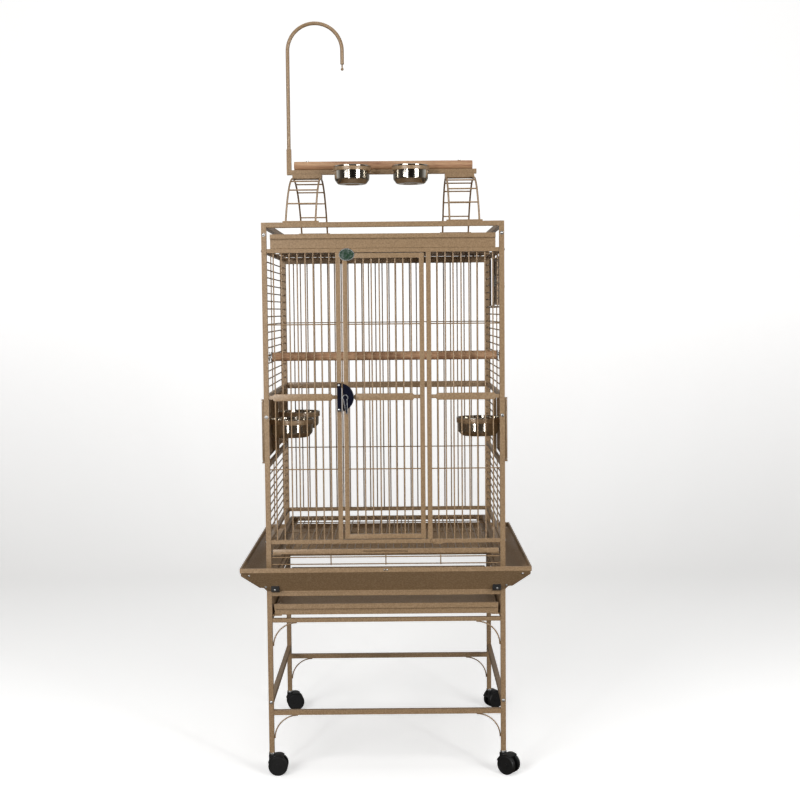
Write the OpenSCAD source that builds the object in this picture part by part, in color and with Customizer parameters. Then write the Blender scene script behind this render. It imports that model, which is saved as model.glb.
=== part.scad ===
// Play-top parrot cage on a wheeled stand.
// Origin at the floor under the middle of the cage; +X right, +Y back, +Z up; millimetres.

/* [Overall] */
// Width over the corner posts
cage_w = 610; // [560:1:740]
// Depth over the corner posts
cage_d = 559; // [500:1:680]
// Height of the top of the corner posts
frame_top = 1415; // [1330:1:1700]
// Height of the underside of the cage's bottom rails
cage_floor = 600; // [560:1:640]

/* [Tubes and bars] */
// Side of the square tubes of posts and outer frames
tube = 12.7; // [11:0.1:15]
// Side of the lighter square rails between the posts
rail = 10.5; // [9:0.1:11.5]
// Diameter of the cage bars
bar_d = 3.5; // [3:0.1:4.5]
// Distance between bar centres
bar_pitch = 20; // [17:0.5:24]

/* [Front door] */
// Width of the front door
door_w = 205; // [170:1:245]
// Side of the door's square stiles and of the door jambs
stile = 12; // [11:0.1:14]
// Gap between the door and its jambs
door_gap = 5.5; // [5:0.1:7]

/* [Feeding] */
// Height of the feeder doors
feeder_h = 152; // [130:1:180]
// Outer diameter of the cup rings on the feeder doors
feeder_ring_d = 117; // [90:1:120]
// Depth of the cups
cup_h = 47; // [30:1:55]
// Outer diameter of the two cup rings of the play top
play_ring_d = 100; // [80:1:105]

/* [Skirt and trays] */
// How far the seed skirt stands out from the posts
skirt_out = 61; // [40:1:90]
// Height of the skirt above its foot
skirt_rise = 59; // [45:1:62]
// Depth of the bottom tray
tray_h = 17; // [14:1:22]
// Depth of the play-top tray
play_tray_h = 25; // [16:1:32]

/* [Play top] */
// Radius of the arched ladders
ladder_r = 340; // [325:1:420]
// Width of a ladder between its stile centres
ladder_w = 75; // [60:1:90]
// Diameter of the wooden perches
perch_d = 23; // [18:0.5:28]
// Radius of the toy hook's arch
hook_r = 73.5; // [50:0.5:80]
// Diameter of the toy hook's rod
hook_d = 10; // [8:0.1:10.4]

/* [Casters] */
// Diameter of the caster wheels
wheel_d = 50; // [40:1:52]
// Distance between a caster's stem and its wheel axle
caster_trail = 16; // [10:1:20]

/* [Hidden] */

sandstone = "#a68c68";
steel = "#c9cbcc";
black = "#1c1c20";
navy = "#23284a";
wood = "#a9714f";

// Plan: outer faces, post inner faces and the plane that the bars lie in
out_x = cage_w / 2;
out_y = cage_d / 2;
in_x = out_x - tube;
in_y = out_y - tube;
bar_x = out_x - tube / 2;
bar_y = out_y - tube / 2;
wire_d = 3;
wire_in = bar_d / 2 + wire_d / 2 - 0.6;

// Heights, from the floor up
leg_foot = 58;
stand_rail_z = 156;
stand_side_rail_z = 184;
tray_rail_z = cage_floor - 202.5;
tray_z = tray_rail_z + rail + 9;
skirt_rail_z = cage_floor - 134;
skirt_z = skirt_rail_z + rail + 3.5;
grate_h = 12.5;
grate_z = cage_floor - 26;
cage_z0 = cage_floor + rail;
top_rail_z = frame_top - tube;
roof_rail_z = frame_top - 76.5;
play_tray_z = roof_rail_z + rail + 0.4;
mid_z = (cage_floor + roof_rail_z + rail) / 2;
back_flange = 8;
wire_levels = [(mid_z + cage_floor + rail) / 2 - 2, (mid_z + roof_rail_z) / 2 + 2];
flat_h = 17.8;
thin_h = 9.7;

// Front door and its surroundings
door_x = door_w / 2;
jamb_x = door_x + door_gap;
door_z0 = cage_z0 + 2;
door_z1 = roof_rail_z - 2;
hinge_x = door_x - stile / 2;
pin_d = 4;
running = 0.1;

// Feeder and nest doors: shallow pans that hang on vertical pins outside the side bars
pan_axis_x = out_x + 4.25;
barrel_d = 8;
feeder_z1 = mid_z - rail / 2 - 5.5;
feeder_z0 = feeder_z1 - feeder_h;
feeder_rail_z = feeder_z0 - 6.5 - rail / 2;
feeder_hinge_y = in_y - 12.8;
feeder_w = feeder_hinge_y - 6;
feeder_mid_y = -feeder_w / 2 - 4;
ring_h = 12;
ring_wall = 2;
feeder_ring_z = feeder_z0 + 84;
feeder_ring_x = bar_x + 7.3 - feeder_ring_d / 2;
nest_z0 = roof_rail_z - 133;
nest_z1 = roof_rail_z - 5;
nest_hinge_y = in_y * 0.56;
nest_w = nest_hinge_y + in_y * 0.506;
nest_front_y = nest_hinge_y - nest_w;
nest_latch_y = nest_front_y + 20;
nest_latch_z = nest_z0 + 51;
latch_axle_d = 5;

// Play top
ladder_x = cage_w / 2 - 99;
ladder_z = frame_top + 3.5 - sqrt(pow(ladder_r, 2) - pow(bar_y - 5, 2));
ladder_top = ladder_z + ladder_r + 3;
ladder_wire = 5;
rung_d = 4;
tube_z0 = ladder_top + 8.5;
tube_z1 = tube_z0 + tube;
hook_x = -in_x + 37;
tube_end_x = in_x - 40;
play_perch_z = tube_z1 + perch_d / 2;
play_ring_y = -(perch_d / 2 + 1.5 + play_ring_d / 2);
play_ring_x = [-0.136 * cage_w, 0.12 * cage_w];
play_ring_z = tube_z0 + 2.5;
sleeve_top = tube_z1 + 56;
hook_z = tube_z1 + 318;

// Bar centres between two limits, at the bar pitch and centred in the gap
function rows(lo, hi) =
    let (count = floor((hi - lo - 8) / bar_pitch))
    let (first = (lo + hi) / 2 - (count - 1) * bar_pitch / 2)
    [for (i = [0 : count - 1]) first + i * bar_pitch];

side_rows = rows(mid_z + rail / 2, roof_rail_z);
inside_perch_y = -in_y / 2 - 17;
inside_perch_z = side_rows[4] - bar_d / 2 - 3.25;

// Box between two opposite corners
module span(a, b) {
    translate(a) cube(b - a);
}

// Round rod between two points
module rod(a, b, d) {
    along = b - a;
    len = norm(along);
    translate(a)
        rotate([0, acos(along[2] / len), atan2(along[1], along[0])])
            cylinder(h = len, d = d, $fn = 24);
}

module both_sides() {
    children();
    mirror([1, 0, 0]) children();
}

module both_ends() {
    children();
    mirror([0, 1, 0]) children();
}

// Rails between the posts: one pair across the width, one pair across the depth
module cross_rails(z, t) {
    both_ends() span([-in_x, -bar_y - t / 2, z], [in_x, -bar_y + t / 2, z + t]);
}

module depth_rails(z, t) {
    both_sides() span([bar_x - t / 2, -in_y, z], [bar_x + t / 2, in_y, z + t]);
}

// Flat strip over the middle of a barred panel, with clipped corners
module mid_strip(x0, x1, y) {
    h = flat_h / 2;
    c = 3;
    translate([0, y, mid_z])
        rotate([90, 0, 0])
            linear_extrude(2.5)
                polygon([[x0, c - h], [x0 + c, -h], [x1 - c, -h], [x1, c - h],
                    [x1, h - c], [x1 - c, h], [x0 + c, h], [x0, h - c]]);
}

// Upright bars with two cross wires, a thin middle bar and the flat strip
module upright_panel(x0, x1, z0, z1) {
    xs = rows(x0, x1);
    for (x = xs) rod([x, -bar_y, z0], [x, -bar_y, z1], bar_d);
    for (z = wire_levels) rod([x0, -bar_y + wire_in, z], [x1, -bar_y + wire_in, z], wire_d);
    span([x0, -bar_y - 2.5, mid_z - thin_h / 2], [x1, -bar_y + 2.5, mid_z + thin_h / 2]);
    mid_strip(xs[0] - 5, xs[len(xs) - 1] + 5, -bar_y - 1);
}

// Level bars of one side with upright wires at the given depths
module level_panel(y0, y1, z0, z1, wires) {
    for (z = rows(z0, z1)) rod([bar_x, y0, z], [bar_x, y1, z], bar_d);
    for (y = wires) rod([bar_x - wire_in, y, z0], [bar_x - wire_in, y, z1], wire_d);
}

// Dome-headed bolt whose head stands out along -Y from the given point
module face_bolt(at, d, h) {
    translate(at) rotate([90, 0, 0]) {
        cylinder(h = h * 0.4, d = d, $fn = 24);
        translate([0, 0, h * 0.4]) cylinder(h = h * 0.6, d1 = d * 0.92, d2 = d * 0.5, $fn = 24);
    }
}

module corner_posts() {
    color(sandstone) both_ends() both_sides() difference() {
        span([in_x, in_y, leg_foot], [out_x, out_y, frame_top]);
        translate([bar_x, bar_y, leg_foot - 1]) cylinder(h = 36, d = 8 + running, $fn = 32);
    }
}

module top_rails() {
    color(sandstone) {
        cross_rails(top_rail_z, tube);
        depth_rails(top_rail_z, tube);
    }
}

module roof_rails() {
    color(sandstone) {
        cross_rails(roof_rail_z, rail);
        depth_rails(roof_rail_z, rail);
        span([-in_x, bar_y - rail / 2, roof_rail_z - back_flange],
            [in_x, bar_y + rail / 2, roof_rail_z + rail / 2]);
    }
}

module roof_bars() {
    z = roof_rail_z + rail / 2;
    end_y = bar_y - rail / 2;
    color(sandstone) {
        for (x = rows(-in_x, in_x)) rod([x, -end_y, z], [x, end_y, z], bar_d);
        for (f = [-0.25, 0, 0.25])
            rod([-bar_x + rail / 2, f * cage_d, z - wire_in], [bar_x - rail / 2, f * cage_d, z - wire_in],
                wire_d);
    }
}

module front_left_bars() {
    color(sandstone) upright_panel(-in_x, -jamb_x - stile, cage_z0, roof_rail_z);
}

module front_right_bars() {
    color(sandstone) upright_panel(jamb_x + stile, in_x, cage_z0, roof_rail_z);
}

module door_jambs() {
    color(sandstone) both_sides()
        span([jamb_x, -bar_y - stile / 2, cage_z0], [jamb_x + stile, -bar_y + stile / 2, roof_rail_z]);
}

module cage_bottom_rails() {
    color(sandstone) {
        cross_rails(cage_floor, rail);
        depth_rails(cage_floor, rail);
    }
}

// Middle and feeder rails of both sides, with the uprights between the feeder places
module side_rails() {
    color(sandstone) {
        depth_rails(mid_z - rail / 2, rail);
        depth_rails(feeder_rail_z - rail / 2, rail);
        both_sides()
            span([bar_x - rail / 2, -5, feeder_rail_z + rail / 2], [bar_x + rail / 2, 5, mid_z - rail / 2]);
    }
}

module back_bars() {
    color(sandstone) mirror([0, 1, 0]) {
        for (x = rows(-in_x, in_x))
            rod([x, -bar_y, cage_z0], [x, -bar_y, roof_rail_z - back_flange], bar_d);
        for (z = wire_levels)
            rod([-in_x, -bar_y + wire_in, z], [in_x, -bar_y + wire_in, z], wire_d);
        span([-in_x, -bar_y - 2.5, mid_z - flat_h / 2], [in_x, -bar_y + 2.5, mid_z + flat_h / 2]);
    }
}

module side_bars_low() {
    level_panel(-in_y, in_y, cage_z0, feeder_rail_z - rail / 2, [-in_y / 2, in_y / 2]);
}

module left_side_bars() {
    color(sandstone) mirror([1, 0, 0]) {
        side_bars_low();
        level_panel(-in_y, in_y, mid_z + rail / 2, roof_rail_z, [-in_y / 2, in_y / 2]);
    }
}

// The right side has one feeder place in front and the nest opening above
module right_side_bars() {
    color(sandstone) {
        side_bars_low();
        level_panel(5, in_y, feeder_rail_z + rail / 2, mid_z - rail / 2, [in_y / 2]);
        level_panel(-in_y, in_y, mid_z + rail / 2, nest_z0 - 6, [-in_y / 2, in_y / 2]);
        rod([bar_x, -in_y, nest_z0 - 6], [bar_x, in_y, nest_z0 - 6], 5);
        for (part = [[-in_y, nest_front_y + 5], [nest_hinge_y - 10, in_y]]) {
            edge_y = part[0] < 0 ? part[1] : part[0];
            for (z = rows(nest_z0, roof_rail_z)) rod([bar_x, part[0], z], [bar_x, part[1], z], bar_d);
            rod([bar_x, edge_y, nest_z0], [bar_x, edge_y, roof_rail_z], 5);
        }
    }
}

// Pin and two lugs that carry a pan door on the right side; z0 and z1 are the door's ends,
// x0 is the lugs' inner face
module pan_hinge(y, z0, z1, lug_z0, lug_z1, x0) {
    translate([pan_axis_x, y, lug_z0]) cylinder(h = lug_z1 - lug_z0, d = pin_d, $fn = 32);
    for (lug = [[lug_z0, z0 - 2], [z1 + 2, lug_z1]])
        span([x0, y - 4, lug[0]], [pan_axis_x + 4, y + 4, lug[1]]);
}

module feeder_hinge(y) {
    pan_hinge(y, feeder_z0, feeder_z1, feeder_rail_z + rail / 2, mid_z - rail / 2, bar_x - 4);
}

module door_hinge_pins() {
    color(sandstone) {
        for (end = [[door_z0 - 2, door_z0 + 22], [door_z1 - 22, door_z1 + 2]])
            rod([hinge_x, -bar_y, end[0]], [hinge_x, -bar_y, end[1]], pin_d);
        translate([hinge_x, -bar_y, cage_z0]) cylinder(h = 1.9, d = 9, $fn = 32);
        both_sides() feeder_hinge(-feeder_hinge_y);
        mirror([1, 0, 0]) feeder_hinge(feeder_hinge_y);
        pan_hinge(nest_hinge_y, nest_z0, nest_z1, nest_z0 - 9, roof_rail_z + 6, bar_x + rail / 2);
        // The lower nest lug stands off the edge rod on a short bracket
        span([bar_x + 2.4, nest_hinge_y - 4, nest_z0 - 9], [bar_x + rail / 2, nest_hinge_y + 4, nest_z0 - 2]);
    }
}

// Lock: a D-shaped case on the door's left stile, a keeper on the jamb, a lever with a cam
lock_r = 35.7;
lock_z = mid_z;
lock_flat_x = -door_x - 1.7;
lock_face_y = -bar_y - stile / 2;
lock_depth = 11;
lever_x = -door_x + 4.3;
lever_z = mid_z;
cam_len = 17.5;
cam_y0 = lock_face_y - 5;
cam_t = 3;

module lock_keeper() {
    color(navy) difference() {
        span([lock_flat_x - 14.5, lock_face_y - 8.5, lock_z - lock_r],
            [-jamb_x - 1, lock_face_y, lock_z + lock_r]);
        span([lock_flat_x - 12.8, lock_face_y - 6.2, lever_z - 5],
            [-jamb_x + 1, lock_face_y - 1, lever_z + 22]);
    }
}

module d_outline(r) {
    intersection() {
        translate([lock_flat_x - 8.1, lock_z]) circle(r = r, $fn = 64);
        translate([lock_flat_x + (lock_r - r), lock_z - lock_r]) square([2 * lock_r, 2 * lock_r]);
    }
}

module lock_housing() {
    color(navy) difference() {
        translate([0, lock_face_y, 0]) rotate([90, 0, 0]) linear_extrude(lock_depth) d_outline(lock_r);
        translate([0, lock_face_y + 1, 0]) rotate([90, 0, 0]) linear_extrude(lock_depth - 2)
            d_outline(lock_r - 2.5);
        span([lock_flat_x - 1, lock_face_y - 6, lever_z - 4],
            [lock_flat_x + 5, lock_face_y + 1, lever_z + 23]);
        translate([lever_x, lock_face_y + 1, lever_z]) rotate([90, 0, 0])
            cylinder(h = lock_depth + 2, d = 5 + running, $fn = 32);
    }
}

module lock_lever() {
    arm_y = lock_face_y - lock_depth - 0.5;
    color(steel) {
        translate([lever_x, arm_y, lever_z]) rotate([90, 0, 0]) linear_extrude(5) {
            circle(d = 14.5, $fn = 48);
            polygon([[-5.4, -3], [5.4, -3], [6, -38], [1, -38]]);
            translate([3.2, -38.6]) circle(d = 6, $fn = 32);
        }
        translate([lever_x, cam_y0, lever_z]) rotate([90, 0, 0])
            cylinder(h = cam_y0 - arm_y + 1, d = 5, $fn = 32);
        span([lever_x - 3, cam_y0 - cam_t + 3, lever_z - 4], [lever_x + 3, cam_y0 + 3, lever_z + cam_len]);
    }
}

// Blank oval plate on the door's upper left corner
module badge_plate() {
    color(steel) translate([-door_x + 11.3, lock_face_y, roof_rail_z - 5.2])
        rotate([90, 0, 0]) linear_extrude(1.2) scale([19.5, 15.4]) circle(r = 1, $fn = 72);
}

// Strips between the posts that the grate and the bottom tray slide on
module tray_runners() {
    color(sandstone) both_sides() for (z = [grate_z, tray_z])
        span([in_x - 24, -bar_y, z - 3.3], [in_x, bar_y, z - 0.3]);
}

// Two wire hoops around the posts' inner faces with short uprights between them
module grate_guard() {
    lo = skirt_z + skirt_rise + 8;
    hi = lo + 18;
    color(sandstone) {
        for (z = [lo, hi]) {
            both_ends() rod([-in_x, -bar_y, z], [in_x, -bar_y, z], wire_d);
            both_sides() rod([bar_x, -in_y, z], [bar_x, in_y, z], wire_d);
        }
        for (f = [-0.23, 0, 0.23]) {
            both_ends() rod([f * cage_w, -bar_y + 2, lo - 2], [f * cage_w, -bar_y + 2, hi + 5], wire_d);
            both_sides() rod([bar_x - 2, f * cage_d, lo - 2], [bar_x - 2, f * cage_d, hi + 5], wire_d);
        }
    }
}

// One sloping skirt panel in front of a post face, with a foot that laps the skirt rail and
// clipped inner corners; half is half the cage's size along it
foot_drop = 4.5;
module skirt_panel(half, face) {
    sheet = 1.5 / cos(atan2(skirt_rise, skirt_out));
    slope = skirt_rise / skirt_out;
    hem = 4;
    inner = skirt_out - hem;
    gap = 0.3;
    notch = 10;
    difference() {
        intersection() {
            translate([-half - skirt_out, -face, 0]) rotate([90, 0, 90])
                linear_extrude(2 * (half + skirt_out))
                    polygon([[0, skirt_z], [-skirt_out, skirt_z + skirt_rise],
                        [-skirt_out, skirt_z + skirt_rise + 11], [-inner, skirt_z + skirt_rise + 11],
                        [-inner, skirt_z + sheet + slope * inner], [0, skirt_z + sheet]]);
            linear_extrude(cage_floor)
                polygon([[-half + gap, -face], [half - gap, -face],
                    [half - gap + skirt_out, -face - skirt_out],
                    [-half + gap - skirt_out, -face - skirt_out]]);
        }
        both_sides() span([half - gap, -face - notch, 0], [half + notch, -face + 1, cage_floor]);
    }
    span([-half + tube + gap, -face, skirt_z - foot_drop], [half - tube - gap, -face + 1, skirt_z + sheet]);
}

module skirt_front() {
    color(sandstone) skirt_panel(out_x, out_y);
}

module skirt_back() {
    color(sandstone) rotate([0, 0, 180]) skirt_panel(out_x, out_y);
}

module skirt_left() {
    color(sandstone) rotate([0, 0, -90]) skirt_panel(out_y, out_x);
}

module skirt_right() {
    color(sandstone) rotate([0, 0, 90]) skirt_panel(out_y, out_x);
}

// Screws at the skirt's mitred corners and black clips where it hangs on the posts
module skirt_fixings() {
    lean = atan2(skirt_rise, skirt_out);
    slope = skirt_rise / skirt_out;
    clip_w = 21;
    clip_out = 17;
    both_ends() both_sides() {
        color(steel) for (e = [14, 52])
            translate([out_x + e - 13, -out_y - e, skirt_z + slope * e])
                rotate([180 - lean, 0, 0]) {
                    translate([0, 0, 0.2]) cylinder(h = 2, d = 7, $fn = 24);
                    translate([0, 0, 2.2]) cylinder(h = 1.4, d1 = 6.4, d2 = 3.6, $fn = 24);
                }
        color(black) translate([in_x - clip_w, -out_y, skirt_z]) rotate([90, 0, 90]) linear_extrude(clip_w)
            polygon([[0, -4], [-clip_out, 2], [-clip_out, clip_out * slope - 0.4], [0, -0.4]]);
        color(steel) face_bolt([in_x - 9, -out_y - clip_out, skirt_z + 5], 5, 3);
    }
    color(steel) both_ends() both_sides()
        face_bolt([3.5, -out_y - skirt_out, skirt_z + skirt_rise + 5.5], 4.5, 2);
}

module stand_upper_rails() {
    color(sandstone) for (z = [tray_rail_z, skirt_rail_z]) {
        cross_rails(z, rail);
        depth_rails(z, rail);
    }
}

module stand_lower_rails() {
    color(sandstone) {
        cross_rails(stand_rail_z, tube);
        depth_rails(stand_side_rail_z, tube);
    }
}

// Quarter-round wires in the corners below the tray rails and the lower stand rails
module corner_gussets() {
    r = 62;
    color(sandstone) both_ends() both_sides() for (z = [tray_rail_z, stand_rail_z])
        translate([in_x - r, -bar_y, z - r]) rotate([90, 0, 0])
            rotate_extrude(angle = 90, $fn = 96) translate([r - bar_d / 2, 0]) circle(d = bar_d, $fn = 24);
}

module frame_bolts() {
    color(steel) {
        both_ends() both_sides() for (z = [stand_side_rail_z + 6.35, mid_z - 49, top_rail_z - 18])
            face_bolt([bar_x, -out_y, z], 9, 3.5);
        both_sides() for (z = [cage_floor + rail / 2, roof_rail_z + rail / 2])
            translate([out_x, 0, 0]) rotate([0, 0, 90]) both_sides()
                face_bolt([bar_y, 0, z], 7, 2.5);
    }
}

module caster_collars() {
    color(steel) both_ends() both_sides() translate([bar_x, bar_y, leg_foot - 5]) difference() {
        cylinder(h = 5, d = 16, $fn = 48);
        translate([0, 0, -1]) cylinder(h = 7, d = 8 + running, $fn = 32);
    }
}

// One arched ladder over the play top, standing on the front and back top rails
front_rungs = [-41, -29.5, -17.3];
back_rungs = [12, 22, 32, 42];

module ladder(x) {
    foot = asin((bar_y - 5) / ladder_r);
    for (s = [-0.5, 0.5])
        translate([x + s * ladder_w, 0, ladder_z]) rotate([90, 0, 90]) rotate([0, 0, 90 - foot])
            rotate_extrude(angle = 2 * foot, $fn = 180)
                translate([ladder_r, 0]) circle(d = ladder_wire, $fn = 24);
    for (a = concat(front_rungs, back_rungs)) {
        y = ladder_r * sin(a);
        z = ladder_z + ladder_r * cos(a);
        rod([x - ladder_w / 2, y, z], [x + ladder_w / 2, y, z], rung_d);
    }
    both_ends() span([x - ladder_w / 2 - 8, -bar_y, frame_top],
        [x + ladder_w / 2 + 8, -bar_y + 10, frame_top + 4]);
    difference() {
        span([x - ladder_w / 2 - 2, -20, ladder_top - 3], [x + ladder_w / 2 + 2, 20, tube_z0]);
        span([x - ladder_w / 2 - 3, -18, ladder_top - 4], [x + ladder_w / 2 + 3, 18, tube_z0 - 2.5]);
    }
    span([x - ladder_w / 2 - 2, -18.5, ladder_top - 2], [x - ladder_w / 2 + 2, 18.5, tube_z0 - 2]);
    span([x + ladder_w / 2 - 2, -18.5, ladder_top - 2], [x + ladder_w / 2 + 2, 18.5, tube_z0 - 2]);
}

module left_ladder() {
    color(sandstone) ladder(-ladder_x);
}

module right_ladder() {
    color(sandstone) ladder(ladder_x);
}

// Square tube across the ladders with the upright sleeve of the toy hook on its left end
module perch_tube() {
    half = tube / 2;
    color(sandstone) difference() {
        union() {
            span([hook_x - half, -half, tube_z0], [tube_end_x, half, tube_z1]);
            span([hook_x - half, -half, tube_z0], [hook_x + half, half, sleeve_top]);
        }
        translate([hook_x, 0, tube_z0 + 2])
            cylinder(h = sleeve_top - tube_z0, d = hook_d + running, $fn = 48);
    }
}

module play_perch() {
    color(wood) translate([-ladder_x - ladder_w / 2 + 2, 0, play_perch_z]) rotate([0, 90, 0])
        cylinder(h = 2 * ladder_x + ladder_w - 4, d = perch_d, $fn = 64);
}

// Heads of the bolts through the play perch, and the studs, washers and wing nuts inside
module perch_bolts() {
    outer = bar_x + bar_d / 2;
    inner = bar_x - bar_d / 2;
    washer = 25;
    color(steel) both_sides() {
        translate([ladder_x, 0, tube_z0 - 5.5]) cylinder(h = 3, d = 8, $fn = 24);
        translate([ladder_x, 0, play_perch_z + perch_d / 2]) cylinder(h = 2, d = 8, $fn = 24);
        translate([0, inside_perch_y, inside_perch_z]) rotate([0, 90, 0]) {
            translate([0, 0, inner - 3]) cylinder(h = 3, d = washer, $fn = 48);
            translate([0, 0, inner - 1]) cylinder(h = 12, d = 5, $fn = 24);
            translate([0, 0, outer]) cylinder(h = 2, d = washer, $fn = 48);
            translate([0, 0, outer + 2]) cylinder(h = 5, d = 11, $fn = 24);
        }
        span([outer + 3, inside_perch_y - 13, inside_perch_z - 1.2],
            [outer + 6, inside_perch_y + 13, inside_perch_z + 1.2]);
    }
}

// Flat band bent to a ring, its lower edge at z = 0
module cup_ring(d) {
    difference() {
        cylinder(h = ring_h, d = d, $fn = 96);
        translate([0, 0, -1]) cylinder(h = ring_h + 2, d = d - 2 * ring_wall, $fn = 96);
    }
}

module play_cup_rings() {
    color(sandstone) for (x = play_ring_x) {
        translate([x, play_ring_y, play_ring_z]) cup_ring(play_ring_d);
        for (s = [-1, 1])
            span([x + s * 14 - 1, play_ring_y + play_ring_d / 2 - 3.4, play_ring_z],
                [x + s * 14 + 1, -tube / 2, play_ring_z + 9]);
    }
}

// Pressed steel cup hanging in a ring by its rolled rim; z = 0 is the ring's top
module cup(ring_d) {
    top = ring_d / 2 - ring_wall - 1;
    foot = top * 0.8;
    wall = 1;
    turn = 12;
    color(steel) rotate_extrude($fn = 96) difference() {
        union() {
            polygon([[0, -cup_h], [foot, -cup_h], [top - 0.6, -cup_h + turn], [top, 0],
                [ring_d / 2, 0], [ring_d / 2, 1.6], [0, 1.6]]);
        }
        polygon([[0, -cup_h + wall], [foot - 0.5, -cup_h + wall], [top - 0.6 - wall, -cup_h + turn + 0.4],
            [top - wall, 0], [top - wall, 3], [0, 3]]);
    }
}

module inside_perch() {
    len = bar_x - bar_d / 2 - 3;
    color(wood) translate([-len, inside_perch_y, inside_perch_z]) rotate([0, 90, 0])
        cylinder(h = 2 * len, d = perch_d, $fn = 64);
}

module front_door() {
    color(sandstone) difference() {
        union() {
            both_sides()
                span([door_x - stile, -bar_y - stile / 2, door_z0], [door_x, -bar_y + stile / 2, door_z1]);
            for (z = [door_z0, door_z1 - stile])
                span([-door_x, -bar_y - stile / 2, z], [door_x, -bar_y + stile / 2, z + stile]);
            upright_panel(-door_x + stile, door_x - stile, door_z0 + stile, door_z1 - stile);
        }
        for (z = [door_z0 - 1, door_z1 - 23])
            translate([hinge_x, -bar_y, z]) cylinder(h = 24, d = pin_d + running, $fn = 32);
    }
}

// Shallow sheet pan with a hinge barrel: the axis is at the origin, the pan runs to +Y,
// its outer face looks to +X
module pan(w, h) {
    bevel = 10;
    edge = -4.75;
    color(sandstone) difference() {
        union() {
            cylinder(h = h, d = barrel_d, $fn = 48);
            translate([0, w, 0]) rotate([90, 0, 0]) linear_extrude(w) difference() {
                polygon([[edge, 0], [1, 0], [3.75, bevel], [3.75, h - bevel], [1, h], [edge, h]]);
                polygon([[edge - 1, 1.5], [-0.1, 1.5], [2.25, bevel + 0.2], [2.25, h - bevel - 0.2],
                    [-0.1, h - 1.5], [edge - 1, h - 1.5]]);
            }
            translate([0, w, 0]) rotate([90, 0, 0]) linear_extrude(1.5)
                polygon([[edge, 0], [1, 0], [3.75, bevel], [3.75, h - bevel], [1, h], [edge, h]]);
        }
        translate([0, 0, -1]) cylinder(h = h + 2, d = pin_d + running, $fn = 32);
    }
}

// Feeder door of the right side: pan, guard rod across its inside, cup ring on two straps
module feeder_door() {
    ring_x = feeder_ring_x - pan_axis_x;
    ring_y = feeder_mid_y + feeder_hinge_y;
    rod_x = 0.4;
    rod_z = 103;
    color(sandstone) translate([pan_axis_x, -feeder_hinge_y, feeder_z0]) {
        pan(feeder_w, feeder_h);
        translate([ring_x, ring_y, feeder_ring_z - feeder_z0]) cup_ring(feeder_ring_d);
        for (s = [-1, 1])
            span([ring_x + feeder_ring_d / 2 - 5.5, ring_y + s * 20 - 1, feeder_ring_z - feeder_z0],
                [3, ring_y + s * 20 + 1, feeder_ring_z - feeder_z0 + ring_h]);
        rod([rod_x, 42, rod_z], [rod_x, feeder_w - 34, rod_z], 4);
    }
}

module feeder_door_right() {
    feeder_door();
}

module feeder_door_left_front() {
    mirror([1, 0, 0]) feeder_door();
}

module feeder_door_left_rear() {
    mirror([1, 0, 0]) mirror([0, 1, 0]) feeder_door();
}

module feeder_cup(x_sign, y_sign) {
    translate([x_sign * feeder_ring_x, y_sign * feeder_mid_y, feeder_ring_z + ring_h + 0.1])
        cup(feeder_ring_d);
}

module feeder_cup_right() {
    feeder_cup(1, 1);
}

module feeder_cup_left_front() {
    feeder_cup(-1, 1);
}

module feeder_cup_left_rear() {
    feeder_cup(-1, -1);
}

module nest_door() {
    translate([pan_axis_x, nest_hinge_y, nest_z0]) mirror([0, 1, 0]) difference() {
        pan(nest_w, nest_z1 - nest_z0);
        translate([0, nest_hinge_y - nest_latch_y, nest_latch_z - nest_z0]) rotate([0, 90, 0])
            cylinder(h = 10, d = latch_axle_d + running, $fn = 32);
    }
}

// Turn knob outside the nest door and its cam inside the bars, drawn unlocked
module nest_latch() {
    face = pan_axis_x + 3.75;
    inner = bar_x - 6.2;
    color(steel) translate([0, nest_latch_y, nest_latch_z]) {
        translate([inner, 0, 0]) rotate([0, 90, 0])
            cylinder(h = face - inner + 1, d = latch_axle_d, $fn = 32);
        translate([face + 0.3, 0, 0]) rotate([0, 90, 0]) cylinder(h = 5, d = 14, $fn = 48);
        span([inner, -4, -4], [inner + 3, 4, 24]);
    }
}

// Barred floor that slides out to the front
module grate() {
    side = in_x - 4.3;
    front = out_y - 1.5;
    back = in_y - 5;
    bar = 10;
    color(sandstone) difference() {
        union() {
            span([-side, -front, grate_z], [side, -front + bar, grate_z + grate_h]);
            span([-side, back - bar, grate_z], [side, back, grate_z + grate_h]);
            both_sides() span([side - bar, -front, grate_z], [side, back, grate_z + grate_h]);
            for (x = rows(-side + bar, side - bar))
                rod([x, -front + 4, grate_z + grate_h - 1.8], [x, back - 4, grate_z + grate_h - 1.8], 3);
            for (f = [-0.25, 0, 0.25])
                rod([-side + 4, f * cage_d, grate_z + grate_h - 4.2],
                    [side - 4, f * cage_d, grate_z + grate_h - 4.2], 3);
        }
        span([-57, -front - 1, grate_z + 4.5], [57, -front + 6, grate_z + 8]);
    }
}

// Turned sheet tab that hooks down in front of the grate; drawn turned aside
tab_x = 0.2 * cage_w;
module grate_lock_tab() {
    y0 = -bar_y - rail / 2;
    color(sandstone) translate([tab_x, y0 - 1.1, cage_floor + rail / 2]) rotate([90, 0, 0])
        linear_extrude(1.8) {
            circle(d = 13, $fn = 32);
            translate([0, -6.5]) square([24, 13]);
        }
    color(steel) face_bolt([tab_x, y0 - 2.9, cage_floor + rail / 2], 8, 3);
}

// Open pan with a taller front edge that stands a little forward as the pull
module slide_tray(half, front, back, z, wall_h, lip_h) {
    wall = 1.5;
    color(sandstone) {
        difference() {
            span([-half, -front, z], [half, back, z + wall_h]);
            span([-half + wall, -front + wall, z + wall], [half - wall, back - wall, z + wall_h + 1]);
        }
        span([-half, -front - 7, z + wall_h - 0.5], [half, -front + wall, z + wall_h + lip_h]);
    }
}

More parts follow.
